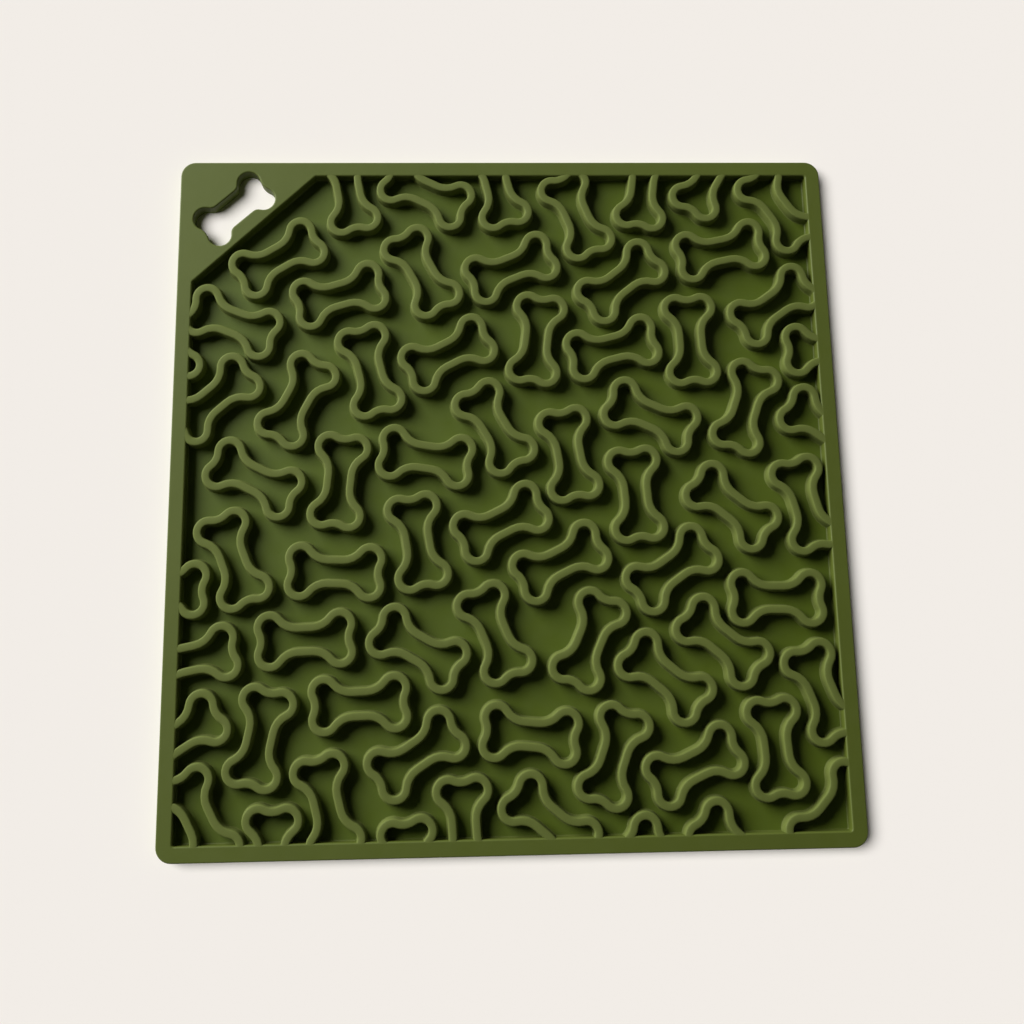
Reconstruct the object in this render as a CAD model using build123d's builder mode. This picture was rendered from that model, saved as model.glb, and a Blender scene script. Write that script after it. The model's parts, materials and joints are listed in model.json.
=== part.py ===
from build123d import *
from math import asin, cos, degrees, radians, sin, sqrt
import os

# A lick mat: one soft rubber moulding, about eight inches square. A thin sheet carries a raised
# rim, a solid corner with a hanging hole, and a loose pattern of bone-shaped ridges that hold food.
# X runs across the mat, Y runs away from the viewer, and the underside lies at Z = 0.

# The sheet and its rim.
mat_width = 203
mat_length = 209
base_thickness = 1.3
ridge_height = 3.7
corner_radius = 4.5
rim_width = 4.6
edge_chamfer = 0.6
foot_chamfer = 0.4

# The solid corner at the back left, measured along the inside of the rim.
web_along_back = 37.5
web_along_side = 34.5

# A bone ridge, measured on its outer edge.
lobe_spread = 10.25
lobe_rise = 4
lobe_radius = 4.7
shaft_half = 4.7
notch_radius = 4.3
blend_radius = 5.5
ridge_width = 2.5
lobe_sides_outside = 5
lobe_sides_inside = 3

# The hanging hole has the same form, a little smaller and with a stouter shaft.
hole_x = -84.6
hole_y = 89.2
hole_turn = 41.5
hole_lobe_spread = 8.9
hole_lobe_rise = 3.5
hole_lobe_radius = 3.6
hole_shaft_half = 4.4
hole_notch_radius = 5
hole_blend_radius = 2.6
hole_lobe_sides = 6

# Where each whole bone lies: X, Y and its turn from the X axis in degrees. Row 1 is at the back.
row_1 = [(-70.5, 73, 31), (-51.5, 61, 16), (-26, 68.5, -62), (2, 69.5, 22), (36.5, 65, 38), (68.5, 75, 12)]
row_2 = [(-64, 28, 62), (-42, 37, 104), (-18, 42, 27), (9.5, 46.5, 82), (33, 43.5, 14), (57.5, 46, 92)]
row_3 = [(-76.5, 4, -27), (-51, 3, 84), (-25, 10, -9), (-4, 19, -60), (18.5, 10.5, 99)]
row_3 += [(44, 22, -24), (73.5, 24.5, 70)]
row_4 = [(-82, -20, 111), (-52, -24, -2), (-27.5, -15.5, 99), (-2.5, -10, 26)]
row_4 += [(15, -22, 26), (38.5, -2, 94), (48.5, -24.5, 35), (67.5, -6, -39)]
row_5 = [(-60.5, -43.5, 2), (-27.5, -46.5, -30), (-5, -42.5, -68), (23, -45, 66)]
row_5 += [(45, -56, -40), (62.5, -46, -40), (79.5, -33.5, -1)]
row_6 = [(-73, -71, 78), (-44.5, -62, 2), (-28, -76.5, 33), (5, -71.5, -6)]
row_6 += [(29, -78, 70), (52.5, -81, 24), (76.5, -76.5, 94)]

# Where each bone lies that runs into the rim, by the side that cuts it.
cut_left = [(-84, 52.5, -22), (-107.5, 35.5, 40), (-89, 28.5, 41), (-103.5, -28, -3), (-94, -48.5, 11)]
cut_left += [(-96.5, -70.5, 32), (-89.5, -93, -63)]
cut_back = [(-49, 95.5, 101), (-24.5, 94.5, -26), (-2, 97, 104), (23, 87, -68), (44.5, 96.5, 82)]
cut_back += [(66, 100, 60), (87.5, 89, -56)]
cut_right = [(84.5, 57, 35), (101, 42.5, 0), (98, 18, -35), (90, -5.5, 104), (91, -61, 110)]
cut_right += [(92, -94.5, 48)]
cut_front = [(-69, -104, 90), (-53.5, -90, 104), (-29.5, -108, 98), (-14.5, -97, 93), (10, -95.5, -40)]
cut_front += [(43.5, -107, -35), (63.5, -104, -40)]

recess_width = mat_width - 2 * rim_width
recess_length = mat_length - 2 * rim_width

os.makedirs("parts", exist_ok=True)


def arc_points(center_x, center_y, radius, start, end, sides):
    """Corner points of an arc that is drawn with straight sides, from one angle to another."""
    points = []
    for step in range(sides + 1):
        angle = radians(start + (end - start) * step / sides)
        points.append((center_x + radius * cos(angle), center_y + radius * sin(angle)))
    return points


def bone_points(spread, rise, lobe, shaft, notch, blend, sides, inset=0):
    """Corner points of a bone: four round lobes, a notch in each end and hollows beside the shaft.

    The inset moves the whole outline inwards by an even distance. One quarter is worked out from
    the tangent circles, and the other three are its reflections.
    """
    notch_angle = degrees(asin(rise / (lobe + notch)))
    blend_angle = degrees(asin((shaft + blend - rise) / (lobe + blend)))
    notch_x = spread + sqrt((lobe + notch) ** 2 - rise**2)
    blend_x = spread - sqrt((lobe + blend) ** 2 - (shaft + blend - rise) ** 2)
    end_notch = arc_points(notch_x, 0, notch + inset, 180, 180 - notch_angle, 1)
    end_lobe = arc_points(spread, rise, lobe - inset, -notch_angle, 180 - blend_angle, sides)
    hollow = arc_points(blend_x, shaft + blend, blend + inset, -blend_angle, -90, 2)
    quarter = end_notch + end_lobe[1:] + hollow[1:]
    upper_left = [(-x, y) for x, y in reversed(quarter)]
    lower_left = [(x, -y) for x, y in reversed(upper_left[:-1])]
    lower_right = [(x, -y) for x, y in reversed(quarter[1:])]
    return quarter + upper_left + lower_left + lower_right


# One bone ridge seen from above: a closed band of even width round an open pocket.
bone_sizes = (lobe_spread, lobe_rise, lobe_radius, shaft_half, notch_radius, blend_radius)
with BuildSketch() as bone_ring:
    with BuildLine():
        Polyline(*bone_points(*bone_sizes, lobe_sides_outside), close=True)
    make_face()
    with BuildLine():
        Polyline(*bone_points(*bone_sizes, lobe_sides_inside, ridge_width), close=True)
    make_face(mode=Mode.SUBTRACT)

# The hanging hole seen from above, in its place.
hole_sizes = (hole_lobe_spread, hole_lobe_rise, hole_lobe_radius, hole_shaft_half)
hole_sizes += (hole_notch_radius, hole_blend_radius, hole_lobe_sides)
with BuildSketch() as hole_outline:
    with BuildLine():
        Polyline(*bone_points(*hole_sizes), close=True)
    make_face()
with BuildSketch() as hanging_hole:
    with Locations(Location((hole_x, hole_y, 0), (0, 0, hole_turn))):
        add(hole_outline.sketch)

# The solid corner seen from above, without its hole.
corner_x = -recess_width / 2
corner_y = recess_length / 2
with BuildSketch() as corner_web:
    with BuildLine():
        Polyline(
            (corner_x, corner_y),
            (corner_x, corner_y - web_along_side),
            (corner_x + web_along_back, corner_y),
            close=True,
        )
    make_face()

# The open floor inside the rim, less the solid corner.
with BuildSketch() as recess:
    Rectangle(recess_width, recess_length)
    add(corner_web.sketch, mode=Mode.SUBTRACT)


# The sheet: flat underneath, with its lower edge eased all round.
with BuildPart() as base_sheet:
    with BuildSketch():
        RectangleRounded(mat_width, mat_length, corner_radius)
        add(hanging_hole.sketch, mode=Mode.SUBTRACT)
    extrude(amount=base_thickness)
    underside = base_sheet.faces().sort_by(Axis.Z)[0]
    chamfer(underside.outer_wire().edges(), foot_chamfer)
base_sheet.part.label = "base_sheet"
export_step(base_sheet.part, "parts/base_sheet.step")

# The raised border: a frame on the sheet, square inside and eased at its outer edge, with the
# corner at the back left filled in round the hanging hole.
with BuildPart() as border:
    with BuildSketch(Plane.XY.offset(base_thickness)):
        RectangleRounded(mat_width, mat_length, corner_radius)
        Rectangle(recess_width, recess_length, mode=Mode.SUBTRACT)
        add(corner_web.sketch)
        add(hanging_hole.sketch, mode=Mode.SUBTRACT)
    extrude(amount=ridge_height)
    top_face = border.faces().sort_by(Axis.Z)[-1]
    chamfer(top_face.outer_wire().edges(), edge_chamfer)

# The border divides along the straight inner edge of the filled corner.
web_edge = Plane(
    origin=(corner_x, corner_y - web_along_side, 0),
    z_dir=(-web_along_side, web_along_back, 0),
)

# The rim: the border on the open side of that line.
with BuildPart() as rim:
    add(border.part)
    split(bisect_by=web_edge, keep=Keep.BOTTOM)
rim.part.label = "rim"
export_step(rim.part, "parts/rim.step")

# The hanging corner: the border on the corner's side of that line, with the hole through it.
with BuildPart() as hanging_corner:
    add(border.part)
    split(bisect_by=web_edge, keep=Keep.TOP)
hanging_corner.part.label = "hanging_corner"
export_step(hanging_corner.part, "parts/hanging_corner.step")


def bone_ridges(label, places):
    """A group of bone ridges on the sheet. A bone that reaches the rim or the corner stops there."""
    with BuildPart() as ridges:
        with BuildSketch(Plane.XY.offset(base_thickness)):
            for x, y, turn in places:
                with Locations(Location((x, y, 0), (0, 0, turn))):
                    add(bone_ring.sketch)
            add(recess.sketch, mode=Mode.INTERSECT)
        extrude(amount=ridge_height)
    ridges.part.label = label
    export_step(ridges.part, f"parts/{label}.step")


# The whole bones, row by row from the back.
for number, places in enumerate([row_1, row_2, row_3, row_4, row_5, row_6], start=1):
    bone_ridges(f"bones_row_{number}", places)

# The bones that run into the rim.
bone_ridges("cut_bones_left", cut_left)
bone_ridges("cut_bones_back", cut_back)
bone_ridges("cut_bones_right", cut_right)
bone_ridges("cut_bones_front", cut_front)
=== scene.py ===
import bmesh
import bpy
import json
from math import asin, atan2, cos, degrees, radians, sin, sqrt
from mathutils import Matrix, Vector

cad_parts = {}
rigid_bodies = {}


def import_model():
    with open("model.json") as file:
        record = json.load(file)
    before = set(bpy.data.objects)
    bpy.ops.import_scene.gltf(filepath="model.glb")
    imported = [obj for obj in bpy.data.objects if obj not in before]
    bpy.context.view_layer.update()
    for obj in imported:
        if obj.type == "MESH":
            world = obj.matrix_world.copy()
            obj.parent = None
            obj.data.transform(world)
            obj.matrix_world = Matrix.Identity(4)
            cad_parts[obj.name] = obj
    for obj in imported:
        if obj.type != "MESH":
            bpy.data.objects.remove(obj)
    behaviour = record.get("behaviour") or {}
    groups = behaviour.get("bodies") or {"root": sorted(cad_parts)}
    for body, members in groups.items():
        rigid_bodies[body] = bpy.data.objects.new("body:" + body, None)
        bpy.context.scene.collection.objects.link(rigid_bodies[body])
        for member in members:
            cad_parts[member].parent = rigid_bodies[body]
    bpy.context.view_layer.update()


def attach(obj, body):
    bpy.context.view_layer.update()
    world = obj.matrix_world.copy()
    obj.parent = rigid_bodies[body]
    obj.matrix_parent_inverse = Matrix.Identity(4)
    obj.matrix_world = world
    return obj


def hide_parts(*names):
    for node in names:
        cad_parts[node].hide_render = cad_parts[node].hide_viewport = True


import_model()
scene = bpy.context.scene
scene.view_settings.view_transform = "Standard"


# The sheet: the thin floor of the mat, with the hanging hole through its back left corner. It is
# soft olive rubber, pressed in one mould with all that stands on it, and lies flat on the table.
mat_width = 203
mat_length = 209
sheet_thickness = 1.3
outer_corner = 4.5
foot_rounding = 0.4
hole_place = (-84.6, 89.2, 41.5)
hole_bone = {"spread": 8.9, "rise": 3.5, "lobe": 3.6, "shaft": 4.4, "notch": 5, "hollow": 2.6}


def linear(hex_colour):
    """An opaque sRGB hex colour as the linear values that a shader takes."""
    values = [int(hex_colour[i : i + 2], 16) / 255 for i in (1, 3, 5)]
    return [v / 12.92 if v <= 0.04045 else ((v + 0.055) / 1.055) ** 2.4 for v in values] + [1]


def add_node(tree, kind, links=(), **settings):
    """Adds a node, sets its properties and input values, and links its inputs to other nodes."""
    node = tree.nodes.new(kind)
    values = settings.pop("values", {})
    for name, value in settings.items():
        setattr(node, name, value)
    for name, value in values.items():
        node.inputs[name].default_value = value
    for name, source in dict(links).items():
        tree.links.new(source, node.inputs[name])
    return node


def moulded_rubber(name, darker, lighter, roughness):
    """Pressed silicone rubber, pigmented right through, with a soft mottle, clouds and a fine grain."""
    mottle_mm = 22
    cloud_mm = 5
    cloud_depth_mm = 0.4
    grain_mm = 0.9
    grain_depth_mm = 0.1
    sheen_spread = 0.05
    rubber = bpy.data.materials.new(name)
    rubber.use_nodes = True
    tree = rubber.node_tree
    shader = tree.nodes["Principled BSDF"]
    place = add_node(tree, "ShaderNodeTexCoord").outputs["Object"]
    mottle = add_node(
        tree, "ShaderNodeTexNoise", {"Vector": place}, values={"Scale": 1000 / mottle_mm, "Detail": 3}
    )
    cloud = add_node(
        tree, "ShaderNodeTexNoise", {"Vector": place}, values={"Scale": 1000 / cloud_mm, "Detail": 4}
    )
    # The mould's spark-eroded grain is finer than this, and is drawn coarse enough to show.
    grain = add_node(
        tree, "ShaderNodeTexNoise", {"Vector": place}, values={"Scale": 1000 / grain_mm, "Detail": 2}
    )
    patches = add_node(
        tree,
        "ShaderNodeMix",
        {"Factor": mottle.outputs["Fac"]},
        data_type="RGBA",
        values={"A": linear(darker), "B": linear(lighter)},
    )
    tree.links.new(patches.outputs["Result"], shader.inputs["Base Color"])
    sheen = add_node(
        tree,
        "ShaderNodeMapRange",
        {"Value": cloud.outputs["Fac"]},
        values={
            "From Min": 0.3,
            "From Max": 0.7,
            "To Min": roughness - sheen_spread,
            "To Max": roughness + sheen_spread,
        },
    )
    tree.links.new(sheen.outputs["Result"], shader.inputs["Roughness"])
    flow = add_node(
        tree,
        "ShaderNodeBump",
        {"Height": cloud.outputs["Fac"]},
        values={"Strength": 0.1, "Distance": cloud_depth_mm / 1000},
    )
    skin = add_node(
        tree,
        "ShaderNodeBump",
        {"Height": grain.outputs["Fac"], "Normal": flow.outputs["Normal"]},
        values={"Strength": 0.12, "Distance": grain_depth_mm / 1000},
    )
    tree.links.new(skin.outputs["Normal"], shader.inputs["Normal"])
    shader.inputs["IOR"].default_value = 1.43
    return rubber


# The floor's satin finish gives a soft sheen towards the lamp. Its base colour is a darker, more
# saturated olive than the ridges' of the same rubber: painted shade of the recessed floor.
floor_rubber_painted_shade = moulded_rubber("satin_olive_rubber", "#495811", "#505f13", 0.54)


def arc(center_x, center_y, radius, start, end, steps):
    """Points along an arc from one angle to another, in degrees."""
    angles = [radians(start + (end - start) * step / steps) for step in range(steps + 1)]
    return [(center_x + radius * cos(angle), center_y + radius * sin(angle)) for angle in angles]


def rounded_outline(corners, radius, inset):
    """A closed outline with rounded corners, moved inwards by the inset. Corners run anticlockwise."""
    corner_steps = 8
    points = []
    for index, corner in enumerate(corners):
        here = Vector(corner)
        back = (Vector(corners[index - 1]) - here).normalized()
        ahead = (Vector(corners[(index + 1) % len(corners)]) - here).normalized()
        half = back.angle(ahead) / 2
        center = here + (back + ahead).normalized() * radius / sin(half)
        start = degrees(atan2(back.x, -back.y))
        end = start + 180 - 2 * degrees(half)
        points += arc(center.x, center.y, radius - inset, start, end, corner_steps)
    return points


def bone_outline(bone, inset):
    """A closed bone outline, moved inwards by the inset: four round lobes, a notch in each end and
    a hollow along each side of the shaft. A quarter comes from tangent circles, the rest by mirror."""
    lobe_steps = 12
    side_steps = 4
    spread, rise, lobe = bone["spread"], bone["rise"], bone["lobe"]
    shaft, notch, hollow = bone["shaft"], bone["notch"], bone["hollow"]
    notch_angle = degrees(asin(rise / (lobe + notch)))
    hollow_angle = degrees(asin((shaft + hollow - rise) / (lobe + hollow)))
    notch_x = spread + sqrt((lobe + notch) ** 2 - rise**2)
    hollow_x = spread - sqrt((lobe + hollow) ** 2 - (shaft + hollow - rise) ** 2)
    quarter = arc(notch_x, 0, notch + inset, 180, 180 - notch_angle, side_steps)
    quarter += arc(spread, rise, lobe - inset, -notch_angle, 180 - hollow_angle, lobe_steps)[1:]
    quarter += arc(hollow_x, shaft + hollow, hollow + inset, -hollow_angle, -90, side_steps)[1:]
    quarter += [(hollow_x / 2, shaft - inset), (0, shaft - inset)]
    upper_left = [(-x, y) for x, y in reversed(quarter[:-1])]
    lower_left = [(x, -y) for x, y in reversed(upper_left[:-1])]
    lower_right = [(x, -y) for x, y in reversed(quarter[1:-1])]
    return quarter + upper_left + lower_left + lower_right


def placed(points, place):
    """The points of an outline, turned and moved to their place on the mat."""
    x, y, turn = place
    c, s = cos(radians(turn)), sin(radians(turn))
    return [(x + c * px - s * py, y + s * px + c * py) for px, py in points]


def add_wall(body, outlines, closed=False):
    """Adds a wall through a stack of (outline, height) pairs. Returns its lowest and highest edges."""
    rings = []
    for points, height in outlines:
        rings.append([body.verts.new((x / 1000, y / 1000, height / 1000)) for x, y in points])
    pairs = list(zip(rings, rings[1:]))
    if closed:
        pairs.append((rings[-1], rings[0]))
    for low, high in pairs:
        for i in range(len(low)):
            body.faces.new((low[i - 1], low[i], high[i], high[i - 1]))
    first = [body.edges.get((rings[0][i - 1], rings[0][i])) for i in range(len(rings[0]))]
    last = [body.edges.get((rings[-1][i - 1], rings[-1][i])) for i in range(len(rings[-1]))]
    return first, last


def finished_mesh(body, name):
    """Turns the built body into a mesh that faces outwards, smooth over its roundings."""
    sharp_degrees = 40
    bmesh.ops.recalc_face_normals(body, faces=body.faces)
    mesh = bpy.data.meshes.new(name)
    body.to_mesh(mesh)
    body.free()
    mesh.shade_smooth()
    mesh.set_sharp_from_angle(angle=radians(sharp_degrees))
    return mesh


def add_piece(name, mesh, rubber, *nodes):
    """Shows a mesh as a piece in that rubber, which stands for its nodes and lies with the mat."""
    piece = bpy.data.objects.new(name, mesh)
    scene.collection.objects.link(piece)
    if not mesh.materials:
        mesh.materials.append(rubber)
    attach(piece, "root")
    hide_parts(*nodes)


half_width = mat_width / 2
half_length = mat_length / 2
mat_corners = [
    (-half_width, -half_length),
    (half_width, -half_length),
    (half_width, half_length),
    (-half_width, half_length),
]
sheet_edge = [
    (rounded_outline(mat_corners, outer_corner, foot_rounding * (1 - x)), foot_rounding * (1 + y))
    for x, y in arc(0, 0, 1, -90, 0, 4)
]
sheet_edge.append((rounded_outline(mat_corners, outer_corner, 0), sheet_thickness))
sheet = bmesh.new()
edge_low, edge_high = add_wall(sheet, sheet_edge)
hole_edge = placed(bone_outline(hole_bone, 0), hole_place)
hole_low, hole_high = add_wall(sheet, [(hole_edge, 0), (hole_edge, sheet_thickness)])
bmesh.ops.triangle_fill(sheet, edges=edge_low + hole_low, use_beauty=True, normal=(0, 0, -1))
bmesh.ops.triangle_fill(sheet, edges=edge_high + hole_high, use_beauty=True, normal=(0, 0, 1))
add_piece("sheet", finished_mesh(sheet, "sheet"), floor_rubber_painted_shade, "base_sheet")


# The raised border: a rim of even width all round, filled in at the back left corner where the
# bone-shaped hanging hole goes through. It is the same rubber, square inside, with its edges eased.
border_height = 5
rim_width = 4.6
web_along_back = 37.5
web_along_side = 34.5
outer_rounding = 0.35
inner_rounding = 0.5
hole_rounding = 0.45
inner_corner = 0.6
foot_fillet = 0.35
flat_margin = 0.08
joint_clearance = 0.1

inner_x = half_width - rim_width
inner_y = half_length - rim_width
recess_corners = [
    (-inner_x, -inner_y),
    (inner_x, -inner_y),
    (inner_x, inner_y),
    (-inner_x + web_along_back, inner_y),
    (-inner_x, inner_y - web_along_side),
]


def edge_profile(rounding, fillet):
    """Steps from the sheet up a moulded wall to its flat top: how far back each lies, and its height."""
    fillet_steps, rounding_steps = 3, 5
    steps = []
    if fillet:
        for x, y in arc(0, 0, fillet, 180, 270, fillet_steps):
            steps.append((-fillet - x, sheet_thickness + fillet + y))
        steps.reverse()
    else:
        steps.append((0, sheet_thickness))
    steps.append((0, border_height - rounding - flat_margin))
    for x, y in arc(0, 0, rounding, 180, 90, rounding_steps):
        steps.append((rounding + x, border_height - rounding + y))
    steps.append((rounding + flat_margin, border_height))
    return steps


border = bmesh.new()
outer_wall = [
    (rounded_outline(mat_corners, outer_corner, back), height)
    for back, height in edge_profile(outer_rounding, 0)
]
recess_wall = [
    (rounded_outline(recess_corners, inner_corner, -back), height)
    for back, height in edge_profile(inner_rounding, foot_fillet)
]
hole_wall = [
    (placed(bone_outline(hole_bone, -back), hole_place), height)
    for back, height in edge_profile(hole_rounding, 0)
]
outer_low, outer_high = add_wall(border, outer_wall)
recess_low, recess_high = add_wall(border, recess_wall)
hole_low, hole_high = add_wall(border, hole_wall)
bmesh.ops.triangle_fill(border, edges=outer_low + recess_low + hole_low, use_beauty=True, normal=(0, 0, -1))
bmesh.ops.triangle_fill(border, edges=outer_high + recess_high + hole_high, use_beauty=True, normal=(0, 0, 1))
bmesh.ops.recalc_face_normals(border, faces=border.faces)


def cut_away(body, point, outwards):
    """Cuts a body along an upright plane, drops what lies outwards of it and closes the cut."""
    snap_mm = 0.005
    bmesh.ops.bisect_plane(
        body,
        geom=body.verts[:] + body.edges[:] + body.faces[:],
        dist=snap_mm / 1000,
        plane_co=(point[0] / 1000, point[1] / 1000, 0),
        plane_no=(outwards[0], outwards[1], 0),
        clear_outer=True,
    )
    bmesh.ops.holes_fill(body, edges=[e for e in body.edges if e.is_boundary], sides=0)


# The border divides just inside the solid corner's inner edge.
web_foot = Vector(recess_corners[-1])
web_outwards = Vector((-web_along_side, web_along_back)).normalized()
joint_line = web_foot - web_outwards * (foot_fillet + joint_clearance)
corner = border.copy()
cut_away(border, joint_line, web_outwards)
cut_away(corner, joint_line, -web_outwards)
# The border's finish is a little duller than the floor's, and gives the eye a browner olive.
border_rubber = moulded_rubber("satin_olive_rubber_border", "#4a5517", "#515c19", 0.6)
add_piece("raised_rim", finished_mesh(border, "raised_rim"), border_rubber, "rim")
add_piece("solid_corner", finished_mesh(corner, "solid_corner"), border_rubber, "hanging_corner")


# The bone ridges: closed ribs of even width, each round a pocket that holds the food. They stand
# as high as the rim and grow out of the sheet in the same rubber, with a slight draft so that they
# leave the mould, and with tops that are slightly crowned and rounded along both edges.
ridge_bone = {"spread": 10.25, "rise": 4, "lobe": 4.7, "shaft": 4.7, "notch": 4.3, "hollow": 5.5}
ridge_width = 2.5
ridge_rounding = 0.45
crown_radius = 7.5
draft = 0.2
ridge_fillet = 0.27

half_ridge = ridge_width / 2
ridge_height = border_height - sheet_thickness
rounding_in = crown_radius - ridge_rounding
shoulder = asin((half_ridge - ridge_rounding) / rounding_in)
shoulder_x = rounding_in * sin(shoulder)
shoulder_z = ridge_height - crown_radius + rounding_in * cos(shoulder)
flank = arc(half_ridge + draft + ridge_fillet, ridge_fillet, ridge_fillet, 270, 180, 3)
flank += arc(shoulder_x, shoulder_z, ridge_rounding, 0, 90 - degrees(shoulder), 5)
flank += arc(0, ridge_height - crown_radius, crown_radius, 90 - degrees(shoulder), 90, 3)[1:]
across = [(half_ridge - x, z) for x, z in flank]
across += [(half_ridge + x, z) for x, z in reversed(flank[:-1])]
ring = bmesh.new()
add_wall(ring, [(bone_outline(ridge_bone, inset), height) for inset, height in across], closed=True)
bone_ring = bpy.data.objects.new("bone_ring", finished_mesh(ring, "bone_ring"))

# The ridges' matte finish hardly shines. Their base colour is a paler, greyer olive than the floor's
# of the same rubber: painted light and a painted grey sheen on the ridge tops.
ridge_rubber_painted_light = moulded_rubber("matte_olive_rubber", "#555f24", "#5c6727", 0.78)
field = bpy.data.node_groups.new("bone_field", "GeometryNodeTree")
field.interface.new_socket("Places", in_out="INPUT", socket_type="NodeSocketGeometry")
field.interface.new_socket("Bone", in_out="INPUT", socket_type="NodeSocketObject")
field.interface.new_socket("Sheet Top", in_out="INPUT", socket_type="NodeSocketFloat")
field.interface.new_socket("Rubber", in_out="INPUT", socket_type="NodeSocketMaterial")
field.interface.new_socket("Ridges", in_out="OUTPUT", socket_type="NodeSocketGeometry")
given = add_node(field, "NodeGroupInput").outputs
lift = add_node(field, "ShaderNodeCombineXYZ", {"Z": given["Sheet Top"]})
on_sheet = add_node(
    field, "GeometryNodeSetPosition", {"Geometry": given["Places"], "Offset": lift.outputs["Vector"]}
)
turn = add_node(field, "GeometryNodeInputNamedAttribute", values={"Name": "turn"}, data_type="FLOAT")
about_z = add_node(field, "ShaderNodeCombineXYZ", {"Z": turn.outputs["Attribute"]})
rotation = add_node(field, "FunctionNodeEulerToRotation", {"Euler": about_z.outputs["Vector"]})
one_bone = add_node(field, "GeometryNodeObjectInfo", {"Object": given["Bone"]})
bones = add_node(
    field,
    "GeometryNodeInstanceOnPoints",
    {
        "Points": on_sheet.outputs["Geometry"],
        "Instance": one_bone.outputs["Geometry"],
        "Rotation": rotation.outputs["Rotation"],
    },
)
solid = add_node(field, "GeometryNodeRealizeInstances", {"Geometry": bones.outputs["Instances"]})
coloured = add_node(
    field, "GeometryNodeSetMaterial", {"Geometry": solid.outputs["Geometry"], "Material": given["Rubber"]}
)
add_node(field, "NodeGroupOutput", {"Ridges": coloured.outputs["Geometry"]})


def bone_ridges(name, places):
    """The mesh of a group of bone ridges, one at each place: X, Y and its turn in degrees."""
    marks = bpy.data.meshes.new(name + "_places")
    marks.from_pydata([(x / 1000, y / 1000, 0) for x, y, turn in places], [], [])
    turns = marks.attributes.new("turn", "FLOAT", "POINT")
    turns.data.foreach_set("value", [radians(turn) for x, y, turn in places])
    holder = bpy.data.objects.new(name + "_places", marks)
    scene.collection.objects.link(holder)
    growth = holder.modifiers.new("bones", "NODES")
    growth.node_group = field
    inputs = {s.name: s.identifier for s in field.interface.items_tree if s.in_out == "INPUT"}
    growth[inputs["Bone"]] = bone_ring
    growth[inputs["Sheet Top"]] = sheet_thickness / 1000
    growth[inputs["Rubber"]] = ridge_rubber_painted_light
    grown = holder.evaluated_get(bpy.context.evaluated_depsgraph_get())
    mesh = bpy.data.meshes.new_from_object(grown)
    mesh.name = name
    bpy.data.objects.remove(holder)
    return mesh


rows = [
    [(-70.5, 73, 31), (-51.5, 61, 16), (-26, 68.5, -62), (2, 69.5, 22), (36.5, 65, 38), (68.5, 75, 12)],
    [(-64, 28, 62), (-42, 37, 104), (-18, 42, 27), (9.5, 46.5, 82), (33, 43.5, 14), (57.5, 46, 92)],
    [(-76.5, 4, -27), (-51, 3, 84), (-25, 10, -9), (-4, 19, -60), (18.5, 10.5, 99)]
    + [(44, 22, -24), (73.5, 24.5, 70)],
    [(-82, -20, 111), (-52, -24, -2), (-27.5, -15.5, 99), (-2.5, -10, 26)]
    + [(15, -22, 26), (38.5, -2, 94), (48.5, -24.5, 35), (67.5, -6, -39)],
    [(-60.5, -43.5, 2), (-27.5, -46.5, -30), (-5, -42.5, -68), (23, -45, 66)]
    + [(45, -56, -40), (62.5, -46, -40), (79.5, -33.5, -1)],
    [(-73, -71, 78), (-44.5, -62, 2), (-28, -76.5, 33), (5, -71.5, -6)]
    + [(29, -78, 70), (52.5, -81, 24), (76.5, -76.5, 94)],
]
for number, places in enumerate(rows, start=1):
    name = f"ridges_row_{number}"
    add_piece(name, bone_ridges(name, places), ridge_rubber_painted_light, f"bones_row_{number}")


# The cut bones: the same ribs where the pattern runs out under the rim or the solid corner. Each
# ends in the border, flush with its top, as the mould was cut through the pattern.
corner_bone = (92, -94.5, 48)
cut_groups = {
    "left": [(-84, 52.5, -22), (-107.5, 35.5, 40), (-89, 28.5, 41), (-103.5, -28, -3)]
    + [(-94, -48.5, 11), (-96.5, -70.5, 32), (-89.5, -93, -63)],
    "back": [(-49, 95.5, 101), (-24.5, 94.5, -26), (-2, 97, 104), (23, 87, -68)]
    + [(44.5, 96.5, 82), (66, 100, 60), (87.5, 89, -56)],
    "right": [(84.5, 57, 35), (101, 42.5, 0), (98, 18, -35), (90, -5.5, 104)]
    + [(91, -61, 110), corner_bone],
    "front": [(-69, -104, 90), (-53.5, -90, 104), (-29.5, -108, 98), (-14.5, -97, 93)]
    + [(10, -95.5, -40), (43.5, -107, -35), (63.5, -104, -40)],
}
for side, places in cut_groups.items():
    name = f"trimmed_ridges_{side}"
    mesh = bone_ridges(name + "_whole", places)
    ridges = bmesh.new()
    ridges.from_mesh(mesh)
    for index, start in enumerate(recess_corners):
        along = Vector(recess_corners[(index + 1) % len(recess_corners)]) - Vector(start)
        outwards = Vector((along.y, -along.x)).normalized()
        cut_away(ridges, Vector(start) + outwards * inner_rounding, outwards)
    if corner_bone in places:
        # In the front right corner only the near side of the bone was moulded.
        x, y, turn = corner_bone
        cut_away(ridges, (x, y), (sin(radians(turn)), -cos(radians(turn))))
    add_piece(name, finished_mesh(ridges, name), ridge_rubber_painted_light, f"cut_bones_{side}")
bpy.data.objects.remove(bone_ring)


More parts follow.
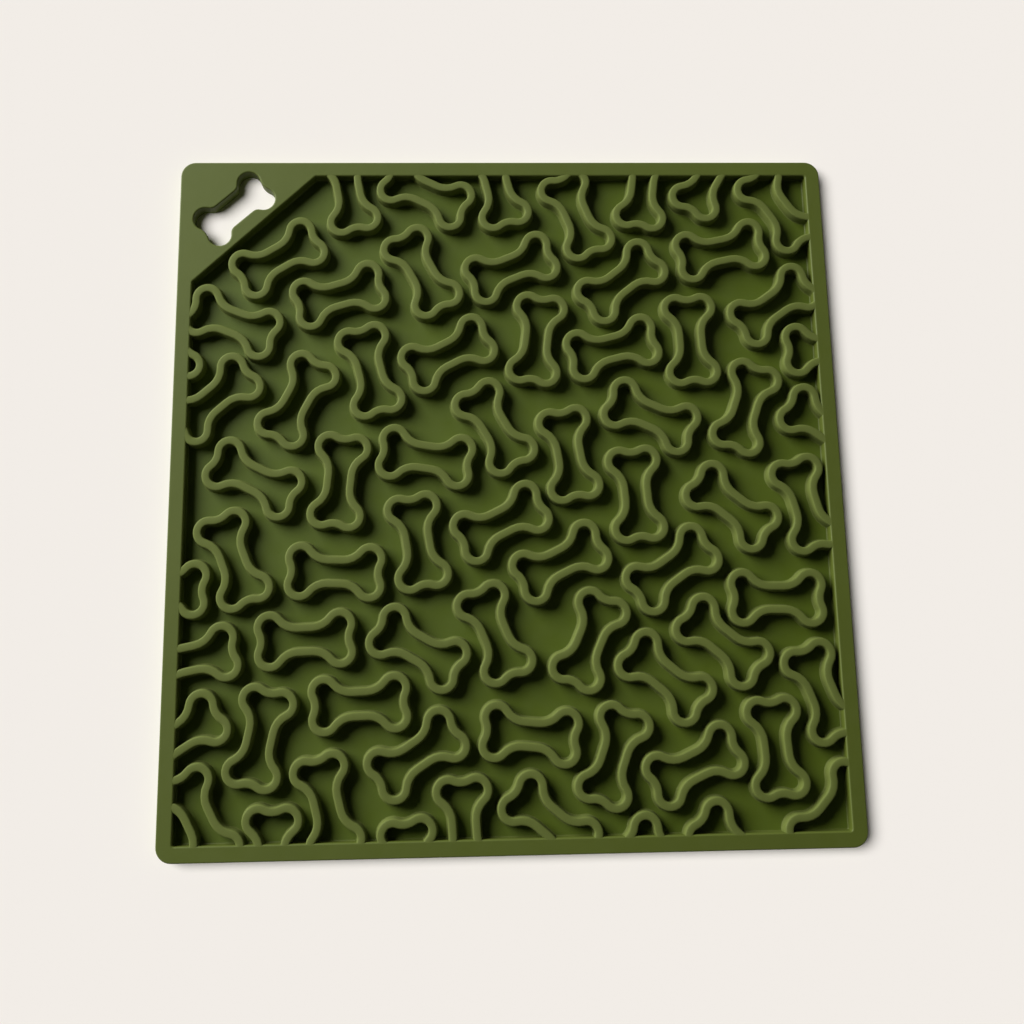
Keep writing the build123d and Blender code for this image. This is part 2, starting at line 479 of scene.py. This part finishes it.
# The table: a plain pale top that the mat lies on, and the same pale tone all round it.
table_colour = "#f2ede7"
table_reach = 3
table_top = -0.00005
table_mesh = bpy.data.meshes.new("table")
table_mesh.from_pydata(
    [(x * table_reach, y * table_reach, table_top) for x, y in ((-1, -1), (1, -1), (1, 1), (-1, 1))],
    [],
    [(0, 1, 2, 3)],
)
table = bpy.data.objects.new("table", table_mesh)
scene.collection.objects.link(table)
painted_board = bpy.data.materials.new("painted_board")
painted_board.use_nodes = True
board_shader = painted_board.node_tree.nodes["Principled BSDF"]
board_shader.inputs["Base Color"].default_value = linear(table_colour)
board_shader.inputs["Roughness"].default_value = 0.9
board_shader.inputs["Specular IOR Level"].default_value = 0.1
table_mesh.materials.append(painted_board)


# Light: a broad soft lamp low on the left and a little behind, near enough to fade across the mat.
# The photo's table has short pale shadows, as if lit from higher up, so it has a lamp of its own.
# The room is as pale as the table where the camera or a reflection sees its walls, and dark above.
key_azimuth, key_elevation = 33, 25
key_distance = 1.55
key_width = 1.26
table_azimuth, table_elevation = 16, 54
wall_top, ceiling_edge = 25, 45
ceiling_level = 0.02
fill_level = 0.01


def towards_lamp(azimuth, elevation):
    """The direction of a lamp on the left, as degrees round towards the back and degrees up."""
    round_back, up = radians(azimuth), radians(elevation)
    return Vector((-cos(round_back) * cos(up), sin(round_back) * cos(up), sin(up)))


def add_lamp(light, direction, distance):
    """Stands a lamp that way off the middle of the mat, and turns it to shine there."""
    lamp = bpy.data.objects.new(light.name, light)
    scene.collection.objects.link(lamp)
    lamp.location = direction * distance
    lamp.rotation_mode = "QUATERNION"
    lamp.rotation_quaternion = direction.to_track_quat("Z", "Y")
    return lamp


key = bpy.data.lights.new("key", "AREA")
key.shape = "DISK"
key.size = key_width
key.energy = 55
key_lamp = add_lamp(key, towards_lamp(key_azimuth, key_elevation), key_distance)
key_lamp.visible_camera = False

table_light = bpy.data.lights.new("table_light", "SUN")
table_light.energy = 3.84
table_light.angle = radians(40)
table_lamp = add_lamp(table_light, towards_lamp(table_azimuth, table_elevation), key_distance)

lit_by_key = bpy.data.collections.new("lit_by_key")
lit_by_lamp = bpy.data.collections.new("lit_by_lamp")
for shown in scene.objects:
    if shown.type == "MESH":
        (lit_by_lamp if shown == table else lit_by_key).objects.link(shown)
key_lamp.light_linking.receiver_collection = lit_by_key
table_lamp.light_linking.receiver_collection = lit_by_lamp

room = bpy.data.worlds.new("room")
scene.world = room
room.use_nodes = True
air = room.node_tree
air.nodes.clear()
ray = add_node(air, "ShaderNodeLightPath").outputs
towards = add_node(air, "ShaderNodeTexCoord").outputs["Generated"]
height = add_node(air, "ShaderNodeSeparateXYZ", {"Vector": towards}).outputs["Z"]
walls = add_node(
    air,
    "ShaderNodeMapRange",
    {"Value": height},
    values={
        "From Min": sin(radians(wall_top)),
        "From Max": sin(radians(ceiling_edge)),
        "To Min": 1,
        "To Max": ceiling_level,
    },
)
reflected = add_node(
    air,
    "ShaderNodeMath",
    {0: ray["Is Glossy Ray"], 1: ray["Is Transmission Ray"]},
    operation="MAXIMUM",
)
seen = add_node(
    air, "ShaderNodeMath", {0: ray["Is Camera Ray"], 1: reflected.outputs[0]}, operation="MAXIMUM"
)
pale = linear(table_colour)
fill = add_node(air, "ShaderNodeBackground", values={"Color": pale, "Strength": fill_level})
backdrop = add_node(
    air, "ShaderNodeBackground", {"Strength": walls.outputs["Result"]}, values={"Color": pale}
)
surroundings = add_node(
    air, "ShaderNodeMixShader", {0: seen.outputs[0], 1: fill.outputs[0], 2: backdrop.outputs[0]}
)
add_node(air, "ShaderNodeOutputWorld", {"Surface": surroundings.outputs[0]})


# Camera: close above the mat, standing a little back from its middle and tipped towards it.
lens = bpy.data.cameras.new("camera")
lens.sensor_width = 36
lens.lens = 45.7
lens.shift_x = 0.015
lens.shift_y = -0.14
lens.clip_start = 0.01
camera = bpy.data.objects.new("camera", lens)
scene.collection.objects.link(camera)
camera.location = (-0.02066, -0.05107, 0.39415)
camera.rotation_euler = (radians(12.798), radians(-2.35), radians(-0.969))
scene.camera = camera
